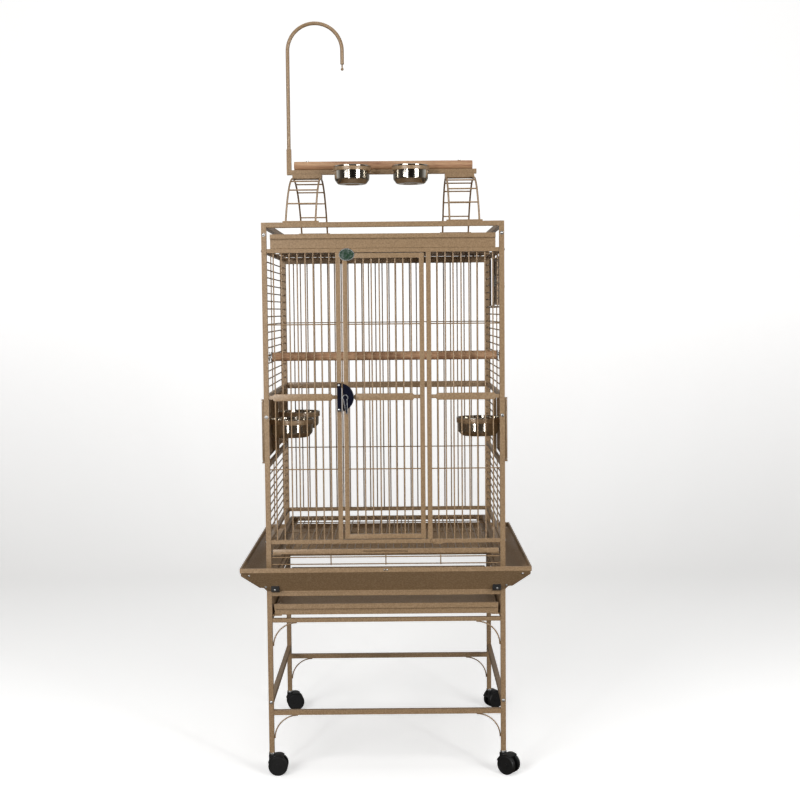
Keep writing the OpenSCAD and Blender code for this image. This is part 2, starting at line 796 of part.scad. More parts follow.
module bottom_tray() {
    slide_tray(in_x - 6, out_y - 4.5, in_y - 5, tray_z, tray_h, 12);
}

module play_tray() {
    slide_tray(in_x - 9, out_y - 4.5, in_y - 5, play_tray_z, play_tray_h, 11);
}

module play_cup(i) {
    translate([play_ring_x[i], play_ring_y, play_ring_z + ring_h + 0.1]) cup(play_ring_d);
}

module play_cup_left() {
    play_cup(0);
}

module play_cup_right() {
    play_cup(1);
}

// Rod that drops into the sleeve, arches over and ends in a neck and a ball
module toy_hook() {
    leg_end = hook_z - 36;
    tip_x = hook_x + 2 * hook_r;
    color(sandstone) {
        rod([hook_x, 0, tube_z0 + 2], [hook_x, 0, hook_z], hook_d);
        translate([hook_x + hook_r, 0, hook_z]) rotate([90, 0, 0])
            rotate_extrude(angle = 180, $fn = 128) translate([hook_r, 0]) circle(d = hook_d, $fn = 32);
        rod([tip_x, 0, leg_end], [tip_x, 0, hook_z], hook_d);
        rod([tip_x, 0, leg_end - 12], [tip_x, 0, leg_end + 1], 4);
        translate([tip_x, 0, leg_end - 13]) sphere(d = 8, $fn = 32);
    }
}

// Swivel caster: stem, middle web and a hood over the two wheels; the trail runs to +X
wheel_z = wheel_d / 2;
wheel_w = 11;
wheel_gap = 13.5;

module caster_body() {
    hood_r = wheel_d / 2 + 2.4;
    color(black) difference() {
        union() {
            translate([0, 0, leg_foot - 9]) cylinder(h = 42, d = 8, $fn = 32);
            translate([0, 0, leg_foot - 9]) cylinder(h = 3.5, d = 17, $fn = 48);
            translate([caster_trail, wheel_gap / 2 - 0.4, wheel_z]) rotate([90, 0, 0])
                linear_extrude(wheel_gap - 0.8) {
                    circle(r = 12, $fn = 48);
                    polygon([[-caster_trail - 8, 12], [-caster_trail - 8, leg_foot - 6 - wheel_z],
                        [-caster_trail + 8, leg_foot - 6 - wheel_z], [12, 16], [12, 0], [-10, -4]]);
                }
            translate([caster_trail, 0, wheel_z]) rotate([90, 0, 0])
                linear_extrude(wheel_gap + 2 * wheel_w - 2, center = true) intersection() {
                    difference() {
                        circle(r = hood_r, $fn = 96);
                        circle(r = hood_r - 1.8, $fn = 96);
                    }
                    polygon([[-40, 12], [-40, 40], [22, 40], [10, 12], [0, 0]]);
                }
            translate([caster_trail, 0, wheel_z]) rotate([90, 0, 0])
                linear_extrude(wheel_gap - 0.8, center = true) intersection() {
                    circle(r = hood_r - 1, $fn = 96);
                    polygon([[-30, 8], [-30, 30], [16, 30], [8, 8]]);
                }
        }
        translate([caster_trail, 20, wheel_z]) rotate([90, 0, 0])
            cylinder(h = 40, d = 5 + running, $fn = 32);
    }
}

// Two hard wheels on one axle, with dished outer faces
module caster_wheels() {
    color(black) translate([caster_trail, 0, wheel_z]) rotate([90, 0, 0]) {
        cylinder(h = wheel_gap + wheel_w, d = 5, center = true, $fn = 32);
        both_faces() translate([0, 0, wheel_gap / 2]) difference() {
            union() {
                cylinder(h = wheel_w - 2, d = wheel_d, $fn = 96);
                translate([0, 0, wheel_w - 2]) cylinder(h = 2, d1 = wheel_d, d2 = wheel_d - 4, $fn = 96);
            }
            translate([0, 0, wheel_w - 2.5]) difference() {
                cylinder(h = 3, d = wheel_d - 10, $fn = 96);
                translate([0, 0, -1]) cylinder(h = 5, d = 12, $fn = 48);
            }
        }
    }
}

module both_faces() {
    children();
    mirror([0, 0, 1]) children();
}

// Places a caster under the post at the given signs, turned about its stem
module at_post(sx, sy, turn) {
    translate([sx * bar_x, sy * bar_y, 0]) rotate([0, 0, turn]) children();
}

turn_front_left = 0;
turn_front_right = -38;
turn_back_left = 12;
turn_back_right = 30;

module caster_front_left() {
    at_post(-1, -1, turn_front_left) caster_body();
}

module caster_front_right() {
    at_post(1, -1, turn_front_right) caster_body();
}

module caster_back_left() {
    at_post(-1, 1, turn_back_left) caster_body();
}

module caster_back_right() {
    at_post(1, 1, turn_back_right) caster_body();
}

module wheels_front_left() {
    at_post(-1, -1, turn_front_left) caster_wheels();
}

module wheels_front_right() {
    at_post(1, -1, turn_front_right) caster_wheels();
}

module wheels_back_left() {
    at_post(-1, 1, turn_back_left) caster_wheels();
}

module wheels_back_right() {
    at_post(1, 1, turn_back_right) caster_wheels();
}

corner_posts();
top_rails();
roof_rails();
roof_bars();
front_left_bars();
front_right_bars();
door_jambs();
cage_bottom_rails();
side_rails();
back_bars();
left_side_bars();
right_side_bars();
door_hinge_pins();
lock_keeper();
badge_plate();
tray_runners();
grate_guard();
skirt_front();
skirt_back();
skirt_left();
skirt_right();
skirt_fixings();
stand_upper_rails();
stand_lower_rails();
corner_gussets();
frame_bolts();
caster_collars();
left_ladder();
right_ladder();
perch_tube();
play_perch();
perch_bolts();
play_cup_rings();
inside_perch();
front_door();
lock_housing();
lock_lever();
feeder_door_left_front();
feeder_door_left_rear();
feeder_door_right();
feeder_cup_left_front();
feeder_cup_left_rear();
feeder_cup_right();
nest_door();
nest_latch();
grate();
grate_lock_tab();
bottom_tray();
play_tray();
play_cup_left();
play_cup_right();
toy_hook();
caster_front_left();
caster_front_right();
caster_back_left();
caster_back_right();
wheels_front_left();
wheels_front_right();
wheels_back_left();
wheels_back_right();
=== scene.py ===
import math

import bmesh
import bpy
from mathutils import Matrix, Vector


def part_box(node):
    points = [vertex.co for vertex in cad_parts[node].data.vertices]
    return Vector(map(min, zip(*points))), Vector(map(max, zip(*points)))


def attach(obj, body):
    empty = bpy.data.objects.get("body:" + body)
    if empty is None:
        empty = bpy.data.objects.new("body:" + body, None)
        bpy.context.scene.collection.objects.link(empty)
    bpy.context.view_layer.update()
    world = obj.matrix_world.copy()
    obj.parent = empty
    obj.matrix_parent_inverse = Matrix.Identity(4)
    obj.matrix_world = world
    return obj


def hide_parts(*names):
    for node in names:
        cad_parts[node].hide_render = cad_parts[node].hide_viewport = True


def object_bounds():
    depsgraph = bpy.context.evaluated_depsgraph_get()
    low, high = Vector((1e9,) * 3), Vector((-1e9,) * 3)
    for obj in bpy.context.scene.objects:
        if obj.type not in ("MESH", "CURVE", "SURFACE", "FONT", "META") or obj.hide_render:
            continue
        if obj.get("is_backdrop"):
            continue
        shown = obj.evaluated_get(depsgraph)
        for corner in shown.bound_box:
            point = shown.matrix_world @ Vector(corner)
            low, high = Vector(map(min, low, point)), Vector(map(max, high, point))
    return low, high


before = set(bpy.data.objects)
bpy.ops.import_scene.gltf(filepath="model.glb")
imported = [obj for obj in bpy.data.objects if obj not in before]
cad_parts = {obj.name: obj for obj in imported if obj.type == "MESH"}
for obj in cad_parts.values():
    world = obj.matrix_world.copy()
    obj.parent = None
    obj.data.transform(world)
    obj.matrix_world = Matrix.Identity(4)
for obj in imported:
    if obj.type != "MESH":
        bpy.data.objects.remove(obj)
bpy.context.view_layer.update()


# --- Corner posts and square rails ------------------------------------------
# Thin-wall square steel tube, cut square and welded, then powder coated in a
# sandstone hammer finish. The long edges keep the small radius of drawn tube.

MM = 0.001
TUBE_EDGE = 0.8


def linear(hex_colour):
    """An sRGB hex colour as linear red, green, blue and alpha."""
    shades = [int(hex_colour[i:i + 2], 16) / 255 for i in (1, 3, 5)]
    curve = [c / 12.92 if c <= 0.04045 else ((c + 0.055) / 1.055) ** 2.4 for c in shades]
    return curve + [1.0]


def add(tree, kind, settings, inputs):
    """A new node with its settings; an input is a value, or the socket that feeds it."""
    node = tree.nodes.new(kind)
    for name, value in settings.items():
        setattr(node, name, value)
    for name, value in inputs.items():
        if isinstance(value, bpy.types.NodeSocket):
            tree.links.new(value, node.inputs[name])
        else:
            node.inputs[name].default_value = value
    return node


def new_finish(name):
    """A material with an empty node tree and its Object coordinates."""
    finish = bpy.data.materials.new(name)
    finish.use_nodes = True
    finish.node_tree.nodes.clear()
    place = add(finish.node_tree, "ShaderNodeTexCoord", {}, {}).outputs["Object"]
    return finish, finish.node_tree, place


def shade(tree, surface):
    """Ends the tree with a principled surface that has these inputs."""
    shader = add(tree, "ShaderNodeBsdfPrincipled", {}, surface)
    add(tree, "ShaderNodeOutputMaterial", {}, {"Surface": shader.outputs["BSDF"]})


def ramp(tree, factor, stops):
    """A colour ramp through (place, hex colour) stops."""
    node = add(tree, "ShaderNodeValToRGB", {}, {"Fac": factor})
    strip = node.color_ramp.elements
    while len(strip) < len(stops):
        strip.new(0.5)
    for element, (place, colour) in zip(strip, stops):
        element.position = place
        element.color = linear(colour)
    return node.outputs["Color"]


def sandstone_coat():
    """Hammer-finish powder coat: cells of about 4 mm flow into soft dimples under a satin skin.
    Their colour follows the dimples' depth: paler on the rims as painted highlight and browner in
    the floors as painted shade, over the coat's own mottled tone."""
    finish, tree, place = new_finish("sandstone hammer powder coat")
    cells = add(tree, "ShaderNodeTexVoronoi", {"feature": "SMOOTH_F1"},
                {"Vector": place, "Scale": 1 / (4.2 * MM), "Smoothness": 0.5})
    drift = add(tree, "ShaderNodeTexNoise", {}, {
        "Vector": place, "Scale": 1 / (45 * MM), "Detail": 3.0})
    fleck = add(tree, "ShaderNodeTexNoise", {}, {
        "Vector": place, "Scale": 1 / (1.6 * MM), "Detail": 2.0})
    # Painted shade and highlight: this ramp darkens the dimple floors and lightens their rims, on
    # top of the coat's own mottling.
    dimple_tone_and_shade = ramp(tree, cells.outputs["Distance"],
                  [(0.0, "#6f5841"), (0.4, "#957a5a"), (1.0, "#b3987a")])
    speck = ramp(tree, fleck.outputs["Fac"], [(0.3, "#806649"), (0.7, "#a98d6b")])
    mixed = add(tree, "ShaderNodeMix", {"data_type": "RGBA"}, {"Factor": 0.4})
    tree.links.new(dimple_tone_and_shade, mixed.inputs[6])
    tree.links.new(speck, mixed.inputs[7])
    toned = add(tree, "ShaderNodeHueSaturation", {}, {"Color": mixed.outputs[2]})
    value = add(tree, "ShaderNodeMapRange", {}, {
        "Value": drift.outputs["Fac"], "To Min": 0.95, "To Max": 1.05})
    tree.links.new(value.outputs["Result"], toned.inputs["Value"])
    gloss = add(tree, "ShaderNodeMapRange", {}, {
        "Value": cells.outputs["Distance"], "To Min": 0.44, "To Max": 0.32})
    bump = add(tree, "ShaderNodeBump", {}, {
        "Strength": 0.5, "Distance": 0.3 * MM, "Height": cells.outputs["Distance"]})
    shade(tree, {"Base Color": toned.outputs["Color"], "Roughness": gloss.outputs["Result"],
                 "Normal": bump.outputs["Normal"], "IOR": 1.5, "Metallic": 0.1,
                 "Coat Weight": 0.35, "Coat Roughness": 0.2})
    return finish


COAT = sandstone_coat()


def dress(name, finish, edge=0.0):
    """Gives a CAD node its finish and, where it has an edge radius in mm, rounds its corners."""
    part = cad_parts[name]
    for held in part.material_slots:
        held.material = finish
    if edge:
        weld = part.modifiers.new("weld", "WELD")
        weld.merge_threshold = 0.01 * MM
        bevel = part.modifiers.new("edge radius", "BEVEL")
        bevel.width = edge * MM
        bevel.segments = 2
        bevel.limit_method = "ANGLE"
        bevel.angle_limit = math.radians(50)


for square_tube in ("corner_posts", "top_rails", "roof_rails", "cage_bottom_rails", "side_rails",
                    "door_jambs", "stand_upper_rails", "stand_lower_rails", "tray_runners"):
    dress(square_tube, COAT, TUBE_EDGE)


# --- Barred panels -----------------------------------------------------------
# Round steel wire laid in rows and resistance welded: every bar ends in a small
# weld nugget on its rail, and thinner wires cross behind the bars.

POST = 12.7
RAIL = 10.5
BAR = 3.5
CROSS_WIRE = 3.0
EDGE_ROD = 5.0
BAR_PITCH = 20.0
BAR_MARGIN = 8
NUGGET = 0.66
WELD_BITE = 0.6
SHARP_FOLD = math.radians(35)


def place_of(node):
    """Lowest and highest corner of a CAD node in mm."""
    low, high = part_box(node)
    return low / MM, high / MM


def rod_row_tree():
    """Rods side by side, each a wire with a weld nugget at both of its ends."""
    tree = bpy.data.node_groups.new("row of welded rods", "GeometryNodeTree")
    face = tree.interface
    for name, kind in (("Start", "Vector"), ("Step", "Vector"), ("Along", "Vector"),
                       ("Count", "Int"), ("Diameter", "Float"), ("Nugget", "Float"),
                       ("Finish", "Material")):
        face.new_socket(name=name, in_out="INPUT", socket_type="NodeSocket" + kind)
    face.new_socket(name="Mesh", in_out="OUTPUT", socket_type="NodeSocketGeometry")
    given = add(tree, "NodeGroupInput", {}, {}).outputs
    seats = add(tree, "GeometryNodeMeshLine", {"mode": "OFFSET"}, {
        "Count": given["Count"], "Start Location": given["Start"], "Offset": given["Step"]})
    half = add(tree, "ShaderNodeMath", {"operation": "MULTIPLY"}, {0: given["Diameter"], 1: 0.5})
    line = add(tree, "GeometryNodeCurvePrimitiveLine", {}, {"End": given["Along"]})
    ring = add(tree, "GeometryNodeCurvePrimitiveCircle", {}, {
        "Resolution": 14, "Radius": half.outputs[0]})
    rod = add(tree, "GeometryNodeCurveToMesh", {}, {
        "Curve": line.outputs[0], "Profile Curve": ring.outputs[0], "Fill Caps": True})
    near = add(tree, "GeometryNodeMeshUVSphere", {}, {
        "Segments": 12, "Rings": 6, "Radius": given["Nugget"]})
    far = add(tree, "GeometryNodeTransform", {}, {
        "Geometry": near.outputs["Mesh"], "Translation": given["Along"]})
    one = add(tree, "GeometryNodeJoinGeometry", {}, {})
    for shape in (rod.outputs["Mesh"], near.outputs["Mesh"], far.outputs["Geometry"]):
        tree.links.new(shape, one.inputs[0])
    row = add(tree, "GeometryNodeInstanceOnPoints", {}, {
        "Points": seats.outputs["Mesh"], "Instance": one.outputs["Geometry"]})
    whole = add(tree, "GeometryNodeRealizeInstances", {}, {"Geometry": row.outputs["Instances"]})
    painted = add(tree, "GeometryNodeSetMaterial", {}, {
        "Geometry": whole.outputs["Geometry"], "Material": given["Finish"]})
    add(tree, "NodeGroupOutput", {}, {"Mesh": painted.outputs["Geometry"]})
    return tree


def grown(tree, values, seats=()):
    """The plain mesh that a Geometry Nodes tree makes from these values; its points are the
    seats, in mm."""
    base = bpy.data.meshes.new("seats")
    base.from_pydata([Vector(p) * MM for p in seats], [], [])
    holder = bpy.data.objects.new("grown", base)
    bpy.context.scene.collection.objects.link(holder)
    modifier = holder.modifiers.new("grow", "NODES")
    modifier.node_group = tree
    for item in tree.interface.items_tree:
        if item.in_out == "INPUT" and item.name in values:
            modifier[item.identifier] = values[item.name]
    seen = holder.evaluated_get(bpy.context.evaluated_depsgraph_get())
    mesh = bpy.data.meshes.new_from_object(seen)
    bpy.data.objects.remove(holder)
    return mesh


ROD_ROW = rod_row_tree()


def rods(start, along, count=1, step=(0, 0, 0), size=BAR, nugget=None):
    """A row of rods in mm: the first starts at start, and each is one step from the last."""
    return grown(ROD_ROW, {
        "Start": Vector(start) * MM, "Step": Vector(step) * MM, "Along": Vector(along) * MM,
        "Count": count, "Diameter": size * MM, "Nugget": (nugget or size * NUGGET) * MM,
        "Finish": COAT})


def bar_places(low, high):
    """Bar centres between two limits, at the bar pitch and centred in the gap."""
    count = math.floor((high - low - BAR_MARGIN) / BAR_PITCH)
    first = (low + high) / 2 - (count - 1) * BAR_PITCH / 2
    return [first + i * BAR_PITCH for i in range(count)]


def as_mesh(shape, finish):
    """Turns a bmesh into a mesh with smooth faces and sharp folds."""
    bmesh.ops.recalc_face_normals(shape, faces=shape.faces[:])
    mesh = bpy.data.meshes.new("part")
    shape.to_mesh(mesh)
    shape.free()
    mesh.materials.append(finish)
    mesh.shade_smooth()
    mesh.set_sharp_from_angle(angle=SHARP_FOLD)
    return mesh


def soften(shape, edges, size):
    """Rounds these edges of a bmesh by a size in mm."""
    bmesh.ops.bevel(shape, geom=edges, offset=size * MM, segments=2, profile=0.7, affect="EDGES")


def block(low, high, finish, edge=TUBE_EDGE):
    """A square-cut bar between two corners in mm, with its edges rounded."""
    low, high = Vector(low), Vector(high)
    shape = bmesh.new()
    bmesh.ops.create_cube(shape, size=1.0)
    for v in shape.verts:
        v.co = Vector((low + high) / 2 + v.co * (high - low)) * MM
    soften(shape, shape.edges[:], edge)
    return as_mesh(shape, finish)


def slab(corners, push, finish, edge):
    """A flat sheet: its corners in mm, pushed through its thickness, with eased edges."""
    shape = bmesh.new()
    near = [shape.verts.new(Vector(corner) * MM) for corner in corners]
    far = [shape.verts.new((Vector(corner) + Vector(push)) * MM) for corner in corners]
    rims = [shape.faces.new(near), shape.faces.new(far)]
    for i in range(len(near)):
        shape.faces.new((near[i - 1], near[i], far[i], far[i - 1]))
    soften(shape, [rim for face in rims for rim in face.edges], edge)
    return as_mesh(shape, finish)


def plate(outline, axis, start, depth, finish, edge):
    """A slab square to the X or Y axis: outline is (y, z) or (x, z) pairs in mm, and the slab
    runs along the axis from start by depth."""
    if axis == "X":
        return slab([(start, a, b) for a, b in outline], (depth, 0, 0), finish, edge)
    return slab([(a, start, b) for a, b in outline], (0, depth, 0), finish, edge)


def piece(name, parts, body, slot, *nodes):
    """Joins meshes into one named piece that rides on a body and stands for CAD nodes."""
    shape, finishes = bmesh.new(), []
    for mesh in parts:
        count = len(shape.faces)
        shape.from_mesh(mesh)
        shape.faces.ensure_lookup_table()
        finish = next(held for held in mesh.materials if held)
        if finish not in finishes:
            finishes.append(finish)
        for face in shape.faces[count:]:
            face.material_index = finishes.index(finish)
            face.smooth = True
    bmesh.ops.recalc_face_normals(shape, faces=shape.faces[:])
    mesh = bpy.data.meshes.new(name)
    shape.to_mesh(mesh)
    shape.free()
    for finish in finishes:
        mesh.materials.append(finish)
    mesh.set_sharp_from_angle(angle=SHARP_FOLD)
    made = bpy.data.objects.new(name, mesh)
    bpy.context.scene.collection.objects.link(made)
    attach(made, body)
    if nodes:
        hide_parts(*nodes)
    return made


post_high = place_of("corner_posts")[1]
OUT_X, OUT_Y = post_high.x, post_high.y
IN_X, IN_Y = OUT_X - POST, OUT_Y - POST
BAR_X, BAR_Y = OUT_X - POST / 2, OUT_Y - POST / 2
FRAME_TOP = post_high.z
roof_low, roof_high = place_of("roof_rails")
ROOF_Z = roof_high.z - RAIL
CAGE_FLOOR, CAGE_Z0 = (corner.z for corner in place_of("cage_bottom_rails"))
side_low, side_high = place_of("side_rails")
FEEDER_RAIL_Z = side_low.z + RAIL / 2
MID_Z = side_high.z - RAIL / 2
WIRE_IN = BAR / 2 + CROSS_WIRE / 2 - WELD_BITE
WIRE_Z = ((MID_Z + CAGE_Z0) / 2 - 2, (MID_Z + ROOF_Z) / 2 + 2)
THIN_BAR, FLAT_STRIP = 9.7, 17.8
MIDDLE_BAR_DEPTH = 5
STRIP_FRONT, STRIP_DEPTH, STRIP_END, STRIP_CLIP = 3.5, 2.5, 5, 3


def cross_wires(x0, x1, y):
    """The two level wires that cross a row of upright bars."""
    return [rods((x0, y, z), (x1 - x0, 0, 0), size=CROSS_WIRE) for z in WIRE_Z]


def middle_bar(x0, x1, y, height):
    """The level bar across the middle of a row of upright bars."""
    half = MIDDLE_BAR_DEPTH / 2
    return block((x0, y - half, MID_Z - height / 2), (x1, y + half, MID_Z + height / 2), COAT)


def upright_grille(x0, x1, z0, z1):
    """Upright bars with two cross wires, a thin middle bar and the flat strip over it."""
    places = bar_places(x0, x1)
    parts = [rods((places[0], -BAR_Y, z0), (0, 0, z1 - z0), len(places), (BAR_PITCH, 0, 0))]
    parts += cross_wires(x0, x1, -BAR_Y + WIRE_IN)
    parts.append(middle_bar(x0, x1, -BAR_Y, THIN_BAR))
    a, b = places[0] - STRIP_END, places[-1] + STRIP_END
    h, cut = FLAT_STRIP / 2, STRIP_CLIP
    corners = [(a, cut - h), (a + cut, -h), (b - cut, -h), (b, cut - h),
               (b, h - cut), (b - cut, h), (a + cut, h), (a, h - cut)]
    strip = [(x, MID_Z + z) for x, z in corners]
    parts.append(plate(strip, "Y", -BAR_Y - STRIP_FRONT, STRIP_DEPTH, COAT, 0.7))
    return parts


for side in ("left", "right"):
    low, high = place_of(f"front_{side}_bars")
    piece(f"front_{side}_grille", upright_grille(low.x, high.x, low.z, high.z), "frame",
          "sandstone_coat", f"front_{side}_bars")

back_places = bar_places(-IN_X, IN_X)
back_parts = [rods((back_places[0], BAR_Y, CAGE_Z0), (0, 0, roof_low.z - CAGE_Z0),
                   len(back_places), (BAR_PITCH, 0, 0))]
back_parts += cross_wires(-IN_X, IN_X, BAR_Y - WIRE_IN)
back_parts.append(middle_bar(-IN_X, IN_X, BAR_Y, FLAT_STRIP))
piece("back_grille", back_parts, "frame", "sandstone_coat", "back_bars")

roof_bar_z = ROOF_Z + RAIL / 2
roof_end = BAR_Y - RAIL / 2
roof_parts = [rods((back_places[0], -roof_end, roof_bar_z), (0, 2 * roof_end, 0),
                   len(back_places), (BAR_PITCH, 0, 0)),
              rods((RAIL / 2 - BAR_X, -OUT_Y / 2, roof_bar_z - WIRE_IN), (2 * BAR_X - RAIL, 0, 0),
                   3, (0, OUT_Y / 2, 0), size=CROSS_WIRE)]
piece("roof_grille", roof_parts, "frame", "sandstone_coat", "roof_bars")


def level_grille(side, y0, y1, z0, z1, wires=()):
    """Level bars of one side between two depths, with upright wires inside them."""
    levels = bar_places(z0, z1)
    parts = [rods((side * BAR_X, y0, levels[0]), (0, y1 - y0, 0), len(levels), (0, 0, BAR_PITCH))]
    parts += [rods((side * (BAR_X - WIRE_IN), y, z0), (0, 0, z1 - z0), size=CROSS_WIRE)
              for y in wires]
    return parts


# The opening behind the nest door, from front to back, and the depth at which the bars
# behind the right feeder door begin.
NEST_OPENING = (-IN_Y * 0.506 + 5, IN_Y * 0.56 - 10)
NEST_SILL_DROP = 6
FEEDER_BACK_Y = 5
quarters = (-IN_Y / 2, IN_Y / 2)
low_z = (CAGE_Z0, FEEDER_RAIL_Z - RAIL / 2)
piece("left_side_grille", level_grille(-1, -IN_Y, IN_Y, *low_z, quarters)
      + level_grille(-1, -IN_Y, IN_Y, MID_Z + RAIL / 2, ROOF_Z, quarters),
      "frame", "sandstone_coat", "left_side_bars")

nest_z = place_of("nest_door")[0].z
sill_z = nest_z - NEST_SILL_DROP
right_parts = level_grille(1, -IN_Y, IN_Y, *low_z, quarters)
right_parts += level_grille(1, FEEDER_BACK_Y, IN_Y, FEEDER_RAIL_Z + RAIL / 2, MID_Z - RAIL / 2,
                            (IN_Y / 2,))
right_parts += level_grille(1, -IN_Y, IN_Y, MID_Z + RAIL / 2, sill_z, quarters)
right_parts.append(rods((BAR_X, -IN_Y, sill_z), (0, 2 * IN_Y, 0), size=EDGE_ROD))
for y0, y1, edge_y in ((-IN_Y, NEST_OPENING[0], NEST_OPENING[0]),
                       (NEST_OPENING[1], IN_Y, NEST_OPENING[1])):
    right_parts += level_grille(1, y0, y1, nest_z, ROOF_Z)
    right_parts.append(rods((BAR_X, edge_y, nest_z), (0, 0, ROOF_Z - nest_z), size=EDGE_ROD))
piece("right_side_grille", right_parts, "frame", "sandstone_coat", "right_side_bars")


# --- Front door --------------------------------------------------------------
# A frame of 12 mm square tube with its own bars, hung on two short steel pins
# that stand in the ends of the right stile.

STILE = 12.0
STILE_LAP = 0.8
door_low, door_high = place_of("front_door")
door_front, door_back = -BAR_Y - STILE / 2, -BAR_Y + STILE / 2
door_parts = [block((x, door_front, door_low.z), (x + STILE, door_back, door_high.z), COAT)
              for x in (door_low.x, door_high.x - STILE)]
door_parts += [block((door_low.x + STILE - STILE_LAP, door_front, z),
                     (door_high.x - STILE + STILE_LAP, door_back, z + STILE), COAT)
               for z in (door_low.z, door_high.z - STILE)]
door_parts += upright_grille(door_low.x + STILE, door_high.x - STILE,
                             door_low.z + STILE, door_high.z - STILE)
piece("front_door_leaf", door_parts, "front_door", "sandstone_coat", "front_door")


# --- Lock, lever and latches ---------------------------------------------------
# A D-shaped case and its keeper are moulded in dark navy plastic with a wide
# radius on every outer edge. The lever and the nest latch are bright plated.

def navy_plastic():
    """Injection-moulded gloss plastic: dark navy, with a faint orange-peel skin."""
    finish, tree, place = new_finish("navy moulded plastic")
    skin = add(tree, "ShaderNodeTexNoise", {}, {
        "Vector": place, "Scale": 1 / (2.5 * MM), "Detail": 2.0})
    tone = ramp(tree, skin.outputs["Fac"], [(0.35, "#0b0c17"), (0.65, "#15182b")])
    bump = add(tree, "ShaderNodeBump", {}, {
        "Strength": 0.15, "Distance": 0.1 * MM, "Height": skin.outputs["Fac"]})
    shade(tree, {"Base Color": tone, "Roughness": 0.16, "Normal": bump.outputs["Normal"],
                 "IOR": 1.5})
    return finish


def bright_plating():
    """Chrome and bright zinc plate: a near-mirror with faint polishing marks and handling haze."""
    finish, tree, place = new_finish("bright plated steel")
    haze = add(tree, "ShaderNodeTexNoise", {}, {
        "Vector": place, "Scale": 1 / (5 * MM), "Detail": 4.0})
    rough = add(tree, "ShaderNodeMapRange", {}, {
        "Value": haze.outputs["Fac"], "To Min": 0.2, "To Max": 0.38})
    tone = ramp(tree, haze.outputs["Fac"], [(0.3, "#c4c6c8"), (0.7, "#dcdddd")])
    shade(tree, {"Base Color": tone, "Metallic": 1.0, "Roughness": rough.outputs["Result"]})
    return finish


NAVY = navy_plastic()
PLATED = bright_plating()

for node in ("lock_keeper", "lock_housing"):
    dress(node, NAVY, 1.8)
for node in ("lock_lever", "nest_latch"):
    dress(node, PLATED, 0.9)
dress("door_hinge_pins", COAT)


def head_tree():
    """Dome heads on thin flanges, one at each seat, all turned the same way."""
    tree = bpy.data.node_groups.new("bolt heads", "GeometryNodeTree")
    face = tree.interface
    for name, kind in (("Seats", "Geometry"), ("Turn", "Vector"), ("Diameter", "Float"),
                       ("Height", "Float"), ("Finish", "Material")):
        face.new_socket(name=name, in_out="INPUT", socket_type="NodeSocket" + kind)
    face.new_socket(name="Mesh", in_out="OUTPUT", socket_type="NodeSocketGeometry")
    given = add(tree, "NodeGroupInput", {}, {}).outputs
    half = add(tree, "ShaderNodeMath", {"operation": "MULTIPLY"}, {0: given["Diameter"], 1: 0.5})
    crown = add(tree, "ShaderNodeMath", {"operation": "MULTIPLY"}, {0: half.outputs[0], 1: 0.86})
    thin = add(tree, "ShaderNodeMath", {"operation": "MULTIPLY"}, {0: given["Height"], 1: 0.5})
    reach = add(tree, "ShaderNodeCombineXYZ", {}, {
        "X": crown.outputs[0], "Y": crown.outputs[0], "Z": given["Height"]})
    ball = add(tree, "GeometryNodeMeshUVSphere", {}, {"Segments": 24, "Rings": 12, "Radius": 1.0})
    dome = add(tree, "GeometryNodeTransform", {}, {
        "Geometry": ball.outputs["Mesh"], "Scale": reach.outputs[0]})
    flange = add(tree, "GeometryNodeMeshCylinder", {}, {
        "Vertices": 24, "Radius": half.outputs[0], "Depth": thin.outputs[0]})
    one = add(tree, "GeometryNodeJoinGeometry", {}, {})
    for shape in (dome.outputs["Geometry"], flange.outputs["Mesh"]):
        tree.links.new(shape, one.inputs[0])
    turn = add(tree, "FunctionNodeEulerToRotation", {}, {"Euler": given["Turn"]})
    row = add(tree, "GeometryNodeInstanceOnPoints", {}, {
        "Points": given["Seats"], "Instance": one.outputs["Geometry"], "Rotation": turn.outputs[0]})
    whole = add(tree, "GeometryNodeRealizeInstances", {}, {"Geometry": row.outputs["Instances"]})
    painted = add(tree, "GeometryNodeSetMaterial", {}, {
        "Geometry": whole.outputs["Geometry"], "Material": given["Finish"]})
    add(tree, "NodeGroupOutput", {}, {"Mesh": painted.outputs["Geometry"]})
    return tree


HEADS = head_tree()


def heads(seats, facing, size, height):
    """Plated dome heads in mm at these seats, standing out along one direction."""
    turn = Vector(facing).to_track_quat("Z", "Y").to_euler()
    return grown(HEADS, {"Turn": Vector(turn), "Diameter": size * MM, "Height": height * MM,
                         "Finish": PLATED}, seats)


def enamel():
    """Dark green stove enamel on the badge, worn to grey in patches."""
    finish, tree, place = new_finish("green badge enamel")
    wear = add(tree, "ShaderNodeTexNoise", {}, {
        "Vector": place, "Scale": 1 / (7 * MM), "Detail": 3.0})
    tone = ramp(tree, wear.outputs["Fac"],
                [(0.38, "#1a3a24"), (0.52, "#3b4c41"), (0.66, "#5f6b66")])
    shade(tree, {"Base Color": tone, "Roughness": 0.25, "IOR": 1.5})
    return finish


def full_turn(steps):
    """The angles of equal steps round a full turn."""
    return [2 * math.pi * i / steps for i in range(steps)]


def oval(x, z, half_x, half_z, steps):
    """Points on an ellipse seen from the front, in mm."""
    return [(x + half_x * math.cos(a), z + half_z * math.sin(a)) for a in full_turn(steps)]


BADGE_RIM = 1.8
badge_low, badge_high = place_of("badge_plate")
middle, half = (badge_low + badge_high) / 2, (badge_high - badge_low) / 2
badge_rim = oval(middle.x, middle.z, half.x, half.z, 72)
badge_field = oval(middle.x, middle.z, half.x - BADGE_RIM, half.z - BADGE_RIM, 72)
piece("blank_badge",
      [plate(badge_rim, "Y", badge_low.y, badge_high.y - badge_low.y, PLATED, 0.5),
       plate(badge_field, "Y", badge_low.y - 0.25, 0.6, enamel(), 0.2)],
      "front_door", "bright_steel", "badge_plate")

